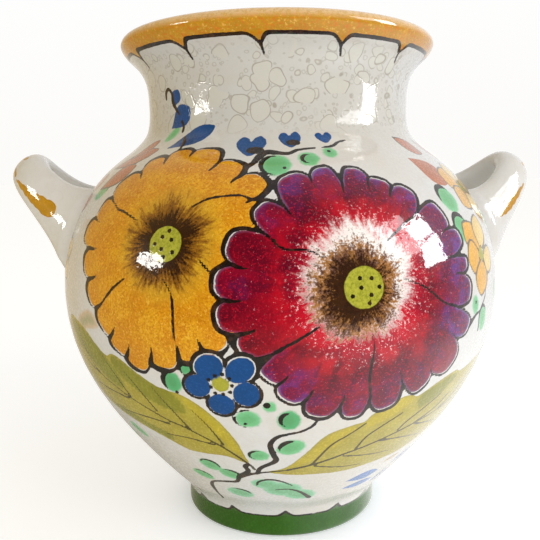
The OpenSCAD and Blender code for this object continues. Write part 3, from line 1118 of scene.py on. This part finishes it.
class Nodes:
    """Short ways to add shader nodes. An input is a Value, a number, or a tuple."""

    def __init__(self, owner):
        """Starts an empty tree on a material or a world."""
        owner.use_nodes = True
        self.tree = owner.node_tree
        self.tree.nodes.clear()

    def put(self, value, socket):
        if isinstance(value, Value):
            self.tree.links.new(value.socket, socket)
        elif hasattr(socket.default_value, "__len__"):
            value = tuple(value)
            socket.default_value = value + (1.0,)*(len(socket.default_value) - len(value))
        else:
            socket.default_value = value

    def node(self, kind, inputs, **settings):
        """Adds a node and fills its inputs, which are given by name or number."""
        node = self.tree.nodes.new("ShaderNode" + kind)
        for key, value in settings.items():
            setattr(node, key, value)
        for key, value in inputs.items():
            self.put(value, node.inputs[key])
        return node

    def add(self, kind, inputs, output=0, **settings):
        """The same, but gives one of the node's outputs."""
        return Value(self, self.node(kind, inputs, **settings).outputs[output])

    def math(self, operation, *values):
        return self.add("Math", dict(enumerate(values)), operation=operation)

    def vector(self, operation, *values):
        output = "Value" if operation == "LENGTH" else "Vector"
        return self.add("VectorMath", dict(enumerate(values)), output, operation=operation)

    def scaled(self, vector, factor):
        return self.add("VectorMath", {0: vector, "Scale": factor}, operation="SCALE")

    def split(self, vector):
        return [Value(self, part) for part in self.node("SeparateXYZ", {0: vector}).outputs]

    def join(self, *parts):
        return self.add("CombineXYZ", dict(enumerate(parts)))

    def mix(self, amount, a, b, blend="MIX"):
        return self.add("Mix", {0: amount, 6: a, 7: b}, 2, data_type="RGBA", blend_type=blend)

    def blend(self, amount, a, b):
        """Mixes two numbers."""
        return self.add("Mix", {0: amount, 2: a, 3: b}, data_type="FLOAT")

    def step(self, value, start, end, low_value=0.0, high_value=1.0):
        """A smooth step from one value to another."""
        inputs = dict(enumerate((value, start, end, low_value, high_value)))
        return self.add("MapRange", inputs, interpolation_type="SMOOTHSTEP")

    def stain(self, colour, paint, pattern, start, end, most=1.0):
        """A colour, turned to paint by as much as most where a pattern goes from start to end."""
        return self.mix(self.step(pattern, start, end, 0.0, most), colour, paint)

    def noise(self, vector, scale, detail=2.0, roughness=0.5):
        inputs = {"Vector": vector, "Scale": scale, "Detail": detail, "Roughness": roughness}
        return self.add("TexNoise", inputs, "Fac")

    def attribute(self, name):
        return self.add("Attribute", {}, "Vector", attribute_type="GEOMETRY", attribute_name=name)

    def here(self):
        """Place on the object in millimetres."""
        return self.scaled(self.add("TexCoord", {}, "Object"), 1/MM)

    def relief(self, height, strength, depth):
        """The normal of a surface with this relief, whose depth is in millimetres."""
        return self.add("Bump", {"Height": height, "Strength": strength, "Distance": depth*MM})


def material(name, paint):
    """A material, from a function that gives its shader's inputs for its nodes and a place."""
    made = bpy.data.materials.new(name)
    n = Nodes(made)
    n.node("OutputMaterial", {"Surface": n.add("BsdfPrincipled", paint(n, n.here()))})
    return made


def glaze_ground(n, here):
    """Bare tin-white glaze: cream and cool patches, pinholes, painted shade that greys it from the neck up,
    and crawled rings round the neck.
    """
    height = n.split(here)[2]
    cool = linear(214, 214, 213)
    warm = linear(212, 208, 201)
    colour = n.mix(n.step(n.noise(here, 0.016, 3), 0.38, 0.68), cool, warm)
    colour = n.stain(colour, linear(200, 190, 170), n.noise(here, 0.11, 3), 0.45, 0.75, 0.20)
    # Painted shade: the glaze turns greyer from just under the neck up to the rim, for the shade that falls
    # under the rim.
    colour = n.stain(colour, linear(176, 174, 166), height, NECK_Z - 14, NECK_Z + 6, 0.42)
    colour = n.stain(colour, linear(150, 124, 94), n.noise(here, 1.5, 2), 0.70, 0.76, 0.25)
    neck = n.step(height, NECK_Z - 8, NECK_Z + 4)*n.step(height, RIM_Z + 4, RIM_Z - 3)
    amount = neck + n.step(height, NECK_Z - 4, NECK_Z - 30, 0.0, 0.10)
    big, big_inside = crawl_rings(n, here, 0.095, 0.46, 0.40)
    middle, middle_inside = crawl_rings(n, here, 0.155, 0.42, 0.30)
    small, _ = crawl_rings(n, here, 0.36, 0.34, 0.18)
    clear = 1.0 - big_inside
    middle = middle*clear
    small = small*(clear*(1.0 - middle_inside))
    inside = n.math("MAXIMUM", big_inside, middle_inside*0.8)
    colour = n.mix(inside*neck*0.34, colour, linear(203, 201, 183))
    lines = n.math("MAXIMUM", n.math("MAXIMUM", big, middle*0.8), small*0.55)*amount
    colour = n.mix(lines*0.55, colour, linear(134, 124, 104))
    return colour, lines


def crawl_rings(n, here, scale, radius, chance_of_none):
    """Thin rings round scattered points, where the glaze drew back as it melted, and their insides."""
    bend_x = (n.noise(here, 1.5*scale, 0) - 0.5)*(0.45/scale)
    bend_z = (n.noise(here, 1.1*scale, 0) - 0.5)*(0.45/scale)
    bent = n.vector("ADD", here, n.join(bend_x, bend_x, bend_z))
    cells = n.node("TexVoronoi", {"Vector": bent, "Scale": scale}).outputs
    distance = Value(n, cells["Distance"])
    chance = n.split(Value(n, cells["Color"]))
    wanted = chance[0]*0.2 + (radius - 0.16)
    there = n.step(chance[1], chance_of_none, chance_of_none + 0.02)
    off = n.math("ABSOLUTE", distance - wanted)
    width = 0.34*scale
    line = n.step(off, width, 0.25*width)*there
    inside = n.step(distance - wanted, 0.0, -0.06)
    return line, inside*there


def flower_colour(n, here, base, place, tint, edge):
    """Petal colours from the disc outwards, with hairs of colour drawn along the petals."""
    x, y, kind = n.split(place)
    flat = n.join(x, y, 0.0)
    reach = n.vector("LENGTH", flat)
    wx, wy, _ = n.split(n.scaled(flat, 1.0/n.math("MAXIMUM", reach, 0.05)))
    hair = n.noise(n.join(wx, wy, reach*0.1), 15.0, 3, 0.6)
    broad = n.noise(n.join(wx, wy, reach*0.1), 3.2, 2)
    streak = n.noise(n.join(wx, wy, reach*0.07), 7.0, 2)
    grain = n.noise(here, 0.8, 3, 0.75)
    dust = n.noise(here, 1.1, 2, 0.7)
    hairy = (hair - 0.5)*3.6 + (dust - 0.5)*2.4
    uneven = (broad - 0.5)*1.5

    # Yellow flower: dark brown hairs over gold.
    golden = n.mix(n.step(n.noise(here, 0.09, 3), 0.40, 0.68, 0.0, 0.60), base, linear(232, 176, 30))
    golden = n.stain(golden, linear(188, 106, 4), dust, 0.46, 0.60, 0.65)
    golden = n.stain(golden, linear(246, 200, 74), grain, 0.54, 0.64, 0.55)
    golden = n.stain(golden, linear(196, 168, 52), reach, 3.8, 2.2, 0.50)
    rough = reach + hairy*0.62 + uneven
    golden = n.stain(golden, linear(122, 70, 18), rough, 2.95, 2.1, 0.85)
    golden = n.stain(golden, linear(40, 17, 5), rough, 2.25, 1.45, 0.95)

    # Crimson flower: dark hairs, a broken cream ring, then red that deepens and turns purple at the tips,
    # with a painted bluish highlight near the tips and painted rim light along the petal edges.
    deep = linear(98, 2, 28)
    far = reach + hairy*0.42
    crimson = n.mix(n.step(n.noise(here, 0.065, 3), 0.40, 0.62), linear(178, 6, 28), deep)
    dusk = n.step(streak, 0.5, 0.66)*n.step(far, 2.9, 4.6, 0.0, 0.75)
    crimson = n.mix(dusk, crimson, linear(62, 4, 26))
    crimson = n.stain(crimson, deep, far, 3.7, 5.2, 0.68)
    crimson = n.stain(crimson, linear(208, 18, 46), far, 3.9, 2.7, 0.55)
    tip = n.step(far, 4.0, 5.8)*tint
    crimson = n.mix(tip*0.72, crimson, linear(80, 12, 88))
    # Painted highlight: bluish patches near the purple tips, for the bluish sheen mirrored there.
    painted_blue_sheen = n.step(n.noise(here, 0.15, 3), 0.46, 0.64)*tip
    crimson = n.mix(painted_blue_sheen*0.55, crimson, linear(88, 66, 166))
    # Painted rim light: pale lavender along the petals' edges, stronger where the tips are purple.
    painted_rim_light = n.step(edge, -1.4, -0.2)*(tint*0.34 + 0.14)
    crimson = n.mix(painted_rim_light, crimson, linear(140, 138, 196))
    crimson = n.stain(crimson, linear(212, 18, 44), dust, 0.54, 0.64, 0.45)
    crimson = n.stain(crimson, linear(232, 160, 172), grain, 0.655, 0.70, 0.60)
    salt = n.step(grain, 0.58, 0.64)*n.step(far, 4.3, 2.9, 0.0, 0.85)
    crimson = n.mix(salt, crimson, linear(244, 214, 214))
    ragged = far + uneven*0.8 + (wy*-0.3 + wx*0.1)
    crimson = n.stain(crimson, linear(246, 243, 240), ragged, 3.10, 2.20, 0.96)
    leaning = wx*0.36 + wy*0.1
    drawn = far + uneven*0.5 + leaning + (dust - 0.5)
    amber = n.mix(n.step(n.noise(here, 0.30, 2), 0.40, 0.60), linear(98, 50, 2), linear(158, 100, 18))
    crimson = n.stain(crimson, amber, drawn, 2.62, 1.95, 0.95)
    crimson = n.stain(crimson, linear(42, 18, 0), drawn, 1.95, 1.30, 0.94)

    first = n.step(kind, 0.45, 0.55)
    colour = n.mix(first, base, golden)
    colour = n.stain(colour, crimson, kind, 1.45, 1.55)
    disc = n.step(reach + uneven*0.05, 1.03, 0.97)*first
    lime = n.mix(n.step(grain, 0.40, 0.66), LIME, linear(138, 142, 38))
    return n.mix(disc, colour, lime)


def painted_glaze(n, here):
    """Everything on the outside of the pot: glaze, wet dabs, shapes, flowers and lines."""
    fill_away, wash_away, tone = n.split(n.attribute("edges"))
    bold_lines, thin_lines, tint = n.split(n.attribute("lines"))
    jitter = n.noise(here, 0.55, 2) - 0.5
    tremble = n.noise(here, 1.9, 2) - 0.5
    colour, rings = glaze_ground(n, here)

    # Wet dabs pale towards their edges and pool in the middle.
    soft = wash_away + jitter*1.6
    wash = n.attribute("wash")
    pool = n.mix(1.0, wash, (0.30, 0.62, 0.34), "MULTIPLY")
    deep = n.stain(wash, pool, soft + tremble*2.0, -0.6, -3.6, 0.55)
    colour = n.stain(colour, deep, soft, 0.9, -0.9, 0.88)

    # Painted shapes, with grain where the colour broke up in the glaze.
    grain = n.noise(here, 0.9, 3, 0.7)
    pooled = n.noise(here, 0.13, 3)
    paint = n.attribute("fill")
    paint = n.mix(n.step(grain, 0.35, 0.72, 0.10, 0.0), paint, (0.02, 0.015, 0.01))
    paint = n.stain(paint, n.mix(1.0, paint, (1.7, 1.5, 1.4), "MULTIPLY"), grain, 0.58, 0.72, 0.5)
    darker = n.mix(1.0, paint, (0.55, 0.5, 0.35), "MULTIPLY")
    paint = n.mix(n.step(pooled, 0.35, 0.70, 0.26, 0.0), paint, darker)
    height = n.split(here)[2]
    on_rim = n.step(height, RIM_Z - 2, RIM_Z)
    spots = n.noise(here, 0.62, 3, 0.75)
    paint = n.mix(n.step(spots, 0.5, 0.6, 0.0, 0.6)*on_rim, paint, linear(208, 108, 24))
    paint = n.mix(n.step(spots, 0.42, 0.34, 0.0, 0.6)*on_rim, paint, linear(236, 182, 92))
    crest = n.step(height, VASE_H - 5.4, VASE_H - 2.0)*n.step(spots, 0.4, 0.52, 0.45, 1.0)
    paint = n.mix(crest*0.8, paint, linear(230, 198, 148))
    paint = flower_colour(n, here, paint, n.attribute("heart"), tint, fill_away)
    paint = n.stain(paint, (0.05, 0.03, 0.02), fill_away, -1.1, 0.1, 0.10)
    colour = n.stain(colour, paint, fill_away + jitter*0.7, 0.16, -0.16)

    # Lines: brown-black where the brush was loaded, browner where it ran dry.
    dry = n.noise(here, 0.30, 3)
    thin = n.mix(tone, linear(56, 46, 18), linear(128, 122, 112))
    colour = n.stain(colour, thin, thin_lines + tremble*0.1, -0.26, -0.02, 0.92)
    black = n.mix(n.step(dry, 0.46, 0.72), linear(20, 14, 13), linear(60, 38, 24))
    wet = n.step(bold_lines + jitter*0.7, -0.3, 0.06, 0.0, 0.985)
    colour = n.mix(wet, colour, black)

    relief = n.noise(here, 0.16, 2)*0.55 + n.noise(here, 0.75, 2)*0.06 - rings*0.1 + wet*0.05
    normal = n.relief(relief, 0.35, 0.8)
    return {"Base Color": colour, "Roughness": n.step(n.noise(here, 0.9, 3), 0.30, 0.75, 0.20, 0.34),
            "Specular IOR Level": 0.06, "Coat Weight": 0.95, "Coat Roughness": 0.03, "Coat IOR": 1.52,
            "Normal": normal, "Coat Normal": normal}


def plain_glaze(n, here):
    """The inside of the pot: the same white glaze, thinner, with throwing lines under it."""
    colour, _ = glaze_ground(n, here)
    lines = n.noise(n.join(0.0, 0.0, n.split(here)[2]), 0.35, 3)
    colour = n.stain(colour, linear(198, 180, 152), lines, 0.45, 0.70, 0.30)
    return {"Base Color": colour, "Roughness": n.step(n.noise(here, 0.7, 3), 0.3, 0.75, 0.24, 0.40),
            "Coat Weight": 0.7, "Coat Roughness": 0.06,
            "Normal": n.relief(lines + n.noise(here, 0.4, 2)*0.3, 0.5, 0.8)}


def bare_clay(n, here):
    """Unglazed fired clay, under the foot: buff, sandy, with dark grog and smears of glaze."""
    colour = n.mix(n.step(n.noise(here, 0.10, 4), 0.35, 0.68), linear(206, 172, 136), linear(184, 138, 100))
    colour = n.stain(colour, linear(110, 84, 64), n.noise(here, 2.2, 2), 0.62, 0.72, 0.5)
    smear = n.step(n.noise(here, 0.07, 4, 0.6), 0.56, 0.62)
    colour = n.mix(smear*0.7, colour, linear(216, 208, 192))
    return {"Base Color": colour, "Roughness": n.blend(smear, 0.88, 0.35),
            "Normal": n.relief(n.noise(here, 1.4, 4, 0.6), 0.6, 0.5)}


# ---------------------------------------------------------------- pieces

GLAZE = material("painted_glaze", painted_glaze)
MATERIALS = [GLAZE, material("inside_glaze", plain_glaze), material("bare_clay", bare_clay)]
OUT, IN, BARE = 0, 1, 2     # places in that list


def foot_piece():
    line, start = painted("foot")
    inner = FOOT_R - FOOT_W
    under = joint((inner, 0), line[0], 8)
    recess = joint((inner - FOOT_TAPER, FOOT_H), (inner, 0), 10)
    top = joint(line[-1], (inner - FOOT_TAPER, FOOT_H))
    turned_piece("foot_ring_glazed", "foot_ring",
                 [(line, start, OUT), (top, None, IN), (recess, None, BARE), (under, None, BARE)])


def bowl_piece():
    line, start = painted("bowl")
    inner = wall_line(BELLY_Z, FLOOR_BEND_Z, COARSE, WALL)
    edge = inner[-1]
    turn = bend(edge, (edge[0] - FLOOR_BEND_W/3, FLOOR_TOP + 1), (edge[0] - FLOOR_BEND_W, FLOOR_TOP), 10)
    floor = joint(turn[-1], (PIN_R, FLOOR_TOP - FLOOR_DISH), 8)
    inside = np.vstack([inner, turn[1:], floor[1:]])
    under = joint((PIN_R, FOOT_H), line[0], 14)
    turned_piece("lower_bowl_painted", "lower_bowl",
                 [(line, start, OUT), (joint(line[-1], inner[0]), None, IN), (inside, None, IN),
                  (under, None, BARE)])


def wall_piece(name, section, node):
    line, start = painted(section)
    inner = wall_line(line[-1][1], line[0][1], COARSE, WALL)
    turned_piece(name, node,
                 [(line, start, OUT), (joint(line[-1], inner[0]), None, IN), (inner, None, IN),
                  (joint(inner[-1], line[0]), None, IN)])


def rim_piece():
    line, start = painted("rim")
    turned_piece("rolled_rim_painted", "rolled_rim",
                 [(line, start, OUT), (joint(line[-1], line[0]), None, IN)])


foot_piece()
bowl_piece()
wall_piece("shoulder_painted", "shoulder", "shoulder")
wall_piece("neck_collar_painted", "neck", "neck_collar")
rim_piece()

# Brush strokes on the handles: stops as fractions along and round the strap, and the widths in mm.
LEFT_STROKES = [
    ([(0.655, 0.35), (0.72, 0.33), (0.80, 0.30), (0.87, 0.27)], [1.0, 3.2, 6.0, 8.5]),
    ([(0.55, 0.22), (0.58, 0.20)], [2.0, 3.0]),
    ([(0.585, 0.33), (0.62, 0.345)], [1.6, 2.4]),
]
RIGHT_STROKES = [
    ([(0.70, 0.34), (0.77, 0.32), (0.84, 0.29), (0.90, 0.26)], [1.2, 3.2, 5.6, 4.4]),
    ([(0.56, 0.30), (0.59, 0.28)], [1.4, 2.4]),
]
handle_piece("handle_left_glazed", "handle_left", 0.0, -1, LEFT_STROKES)
handle_piece("handle_right_glazed", "handle_right", RIGHT_ROLL, 1, RIGHT_STROKES)


# ---------------------------------------------------------------- studio

VIEW_TURN = math.radians(5.8)     # the camera stands this far to the left of the front
VIEW_DOWN = math.radians(7.94)
VIEW_ROLL = math.radians(0.585)
VIEW_DISTANCE = 364.0             # along the ground, in mm
VIEW_HEIGHT = 179.6
VIEW_LENS = 44.13
VIEW_SHIFT = -0.0176


def camera():
    data = bpy.data.cameras.new("camera")
    data.lens = VIEW_LENS
    data.sensor_width = 36.0
    data.shift_x = VIEW_SHIFT
    item = bpy.data.objects.new("camera", data)
    bpy.context.scene.collection.objects.link(item)
    away = Vector((-math.sin(VIEW_TURN), -math.cos(VIEW_TURN), 0))*VIEW_DISTANCE
    place = (away + Vector((0, 0, VIEW_HEIGHT)))*MM
    item.matrix_world = (Matrix.Translation(place) @ Matrix.Rotation(-VIEW_TURN, 4, "Z")
                         @ Matrix.Rotation(math.pi/2 - VIEW_DOWN, 4, "X")
                         @ Matrix.Rotation(-VIEW_ROLL, 4, "Z"))
    bpy.context.scene.camera = item
    return place


def area_light(name, place, target, width, height, power, colour):
    data = bpy.data.lights.new(name, "AREA")
    data.shape = "RECTANGLE"
    data.size = width
    data.size_y = height
    data.energy = power
    data.color = colour
    item = bpy.data.objects.new(name, data)
    item.location = place
    item.rotation_euler = (Vector(target) - Vector(place)).to_track_quat("-Z", "Y").to_euler()
    bpy.context.scene.collection.objects.link(item)
    return item


def mirror_way(place, eye):
    """The point at a place on the pot, and the way light comes to it that shines there for the eye."""
    azimuth, z = math.radians(place[0]), place[1]
    r, slope = (float(v[0]) for v in outer_wall(z))
    point = Vector((r*math.sin(azimuth), -r*math.cos(azimuth), z))*MM
    normal = Vector((math.sin(azimuth), -math.cos(azimuth), -slope)).normalized()
    to_eye = (eye - point).normalized()
    return point, 2*normal.dot(to_eye)*normal - to_eye


GLASS_WIDTH = 0.90    # how much of a pane's width is glass, between the frame's bars
GLASS_HEIGHT = 0.92


def window_light(name, shine, eye, distance, width, height, columns, rows, power, colour):
    """A window of several panes, placed so that it shines at a chosen place on the pot."""
    point, way = mirror_way(shine, eye)
    centre = point + way*distance
    across = way.cross(Vector((0, 0, 1))).normalized()
    up = across.cross(way).normalized()
    for i in range(columns):
        for j in range(rows):
            shift = across*width*((i + 0.5)/columns - 0.5) + up*height*((j + 0.5)/rows - 0.5)
            pane = area_light(f"{name}_{i}_{j}", centre + shift, point + shift, GLASS_WIDTH*width/columns,
                              GLASS_HEIGHT*height/rows, power/(columns*rows), colour)
            pane.visible_diffuse = False


def soft_light(name, place, size, power, colour):
    """A light that brightens the paint and is not mirrored in the glaze."""
    light = area_light(name, place, (0, 0, 0.12), size, size, power, colour)
    light.visible_glossy = False


def surroundings():
    """Even light from all round. The glaze mirrors a bright room behind it and a dim one in front."""
    bpy.context.scene.world = bpy.data.worlds.new("studio")
    n = Nodes(bpy.context.scene.world)
    way = n.split(n.add("TexCoord", {}, "Generated"))

    def across(axis, start, end, low_colour, high_colour):
        """A smooth change of colour along one axis of the direction looked in."""
        return n.mix(n.step(way[axis], start, end), low_colour, high_colour)

    def choose(ray_kind, otherwise, then):
        return n.add("MixShader", {0: n.add("LightPath", {}, ray_kind), 1: otherwise, 2: then})

    def light(colour):
        return n.add("Background", {"Color": colour})

    shed = across(0, -1, 0.9, (0.48, 0.38, 0.17), (0.90, 0.92, 0.965))
    room = across(0, -0.9, 0.3, (0.58, 0.42, 0.19), (0.98, 0.98, 0.98))
    front = across(1, -0.75, 0.45, (0.06, 0.06, 0.07), (1.0, 1.0, 1.0))
    table = across(0, -0.3, 0.8, (0.34, 0.31, 0.23), (1.45, 1.45, 1.42))
    above = across(2, -0.55, -0.10, (0.0, 0.0, 0.0), (1.0, 1.0, 1.0))
    under = across(2, -0.55, -0.10, (1.0, 1.0, 1.0), (0.0, 0.0, 0.0))
    high = n.mix(1.0, n.mix(1.0, room, front, "MULTIPLY"), above, "MULTIPLY")
    mirrored = n.mix(1.0, high, n.mix(1.0, table, under, "MULTIPLY"), "ADD")
    seen = across(2, -0.02, 0.35, (0.975, 0.965, 0.945), (1.0, 1.0, 1.0))
    unseen = choose("Is Glossy Ray", light(shed), light(mirrored))
    n.node("OutputWorld", {"Surface": choose("Is Camera Ray", unseen, light(seen))})


def white_board(n, here):
    colour = n.mix(n.noise(here, 0.01, 2), (0.92, 0.935, 0.955), (0.94, 0.95, 0.965))
    return {"Base Color": colour, "Roughness": 1.0, "Specular IOR Level": 0.0,
            "Emission Color": (0.955, 0.985, 1.07), "Emission Strength": 0.35}


def pale_floor():
    size = 30.0
    mesh = bpy.data.meshes.new("floor")
    mesh.from_pydata([(-size, -size, 0), (size, -size, 0), (size, size, 0), (-size, size, 0)], [],
                     [(0, 1, 2, 3)])
    floor = bpy.data.objects.new("floor", mesh)
    bpy.context.scene.collection.objects.link(floor)
    mesh.materials.append(material("floor_white", white_board))
    floor.visible_glossy = False


def studio(eye):
    bpy.context.scene.view_settings.view_transform = "Standard"
    surroundings()
    pale_floor()
    window_light("window_right", (28.2, 153.5), eye, 1.15, 0.34, 0.60, 1, 2, 10.0, (0.96, 0.98, 1.0))
    window_light("curtain_right", (20.5, 156), eye, 1.15, 0.42, 0.50, 2, 2, 3.6, (0.96, 0.98, 1.0))
    window_light("window_left", (-34, 147), eye, 1.3, 0.32, 0.22, 2, 2, 4.0, (1.0, 0.97, 0.92))
    soft_light("key", (0.9, -1.1, 0.9), 0.9, 5.0, (1.0, 0.99, 0.98))
    soft_light("low_front", (0.25, -1.2, 0.12), 0.7, 4.0, (1.0, 0.99, 0.98))


studio(camera())
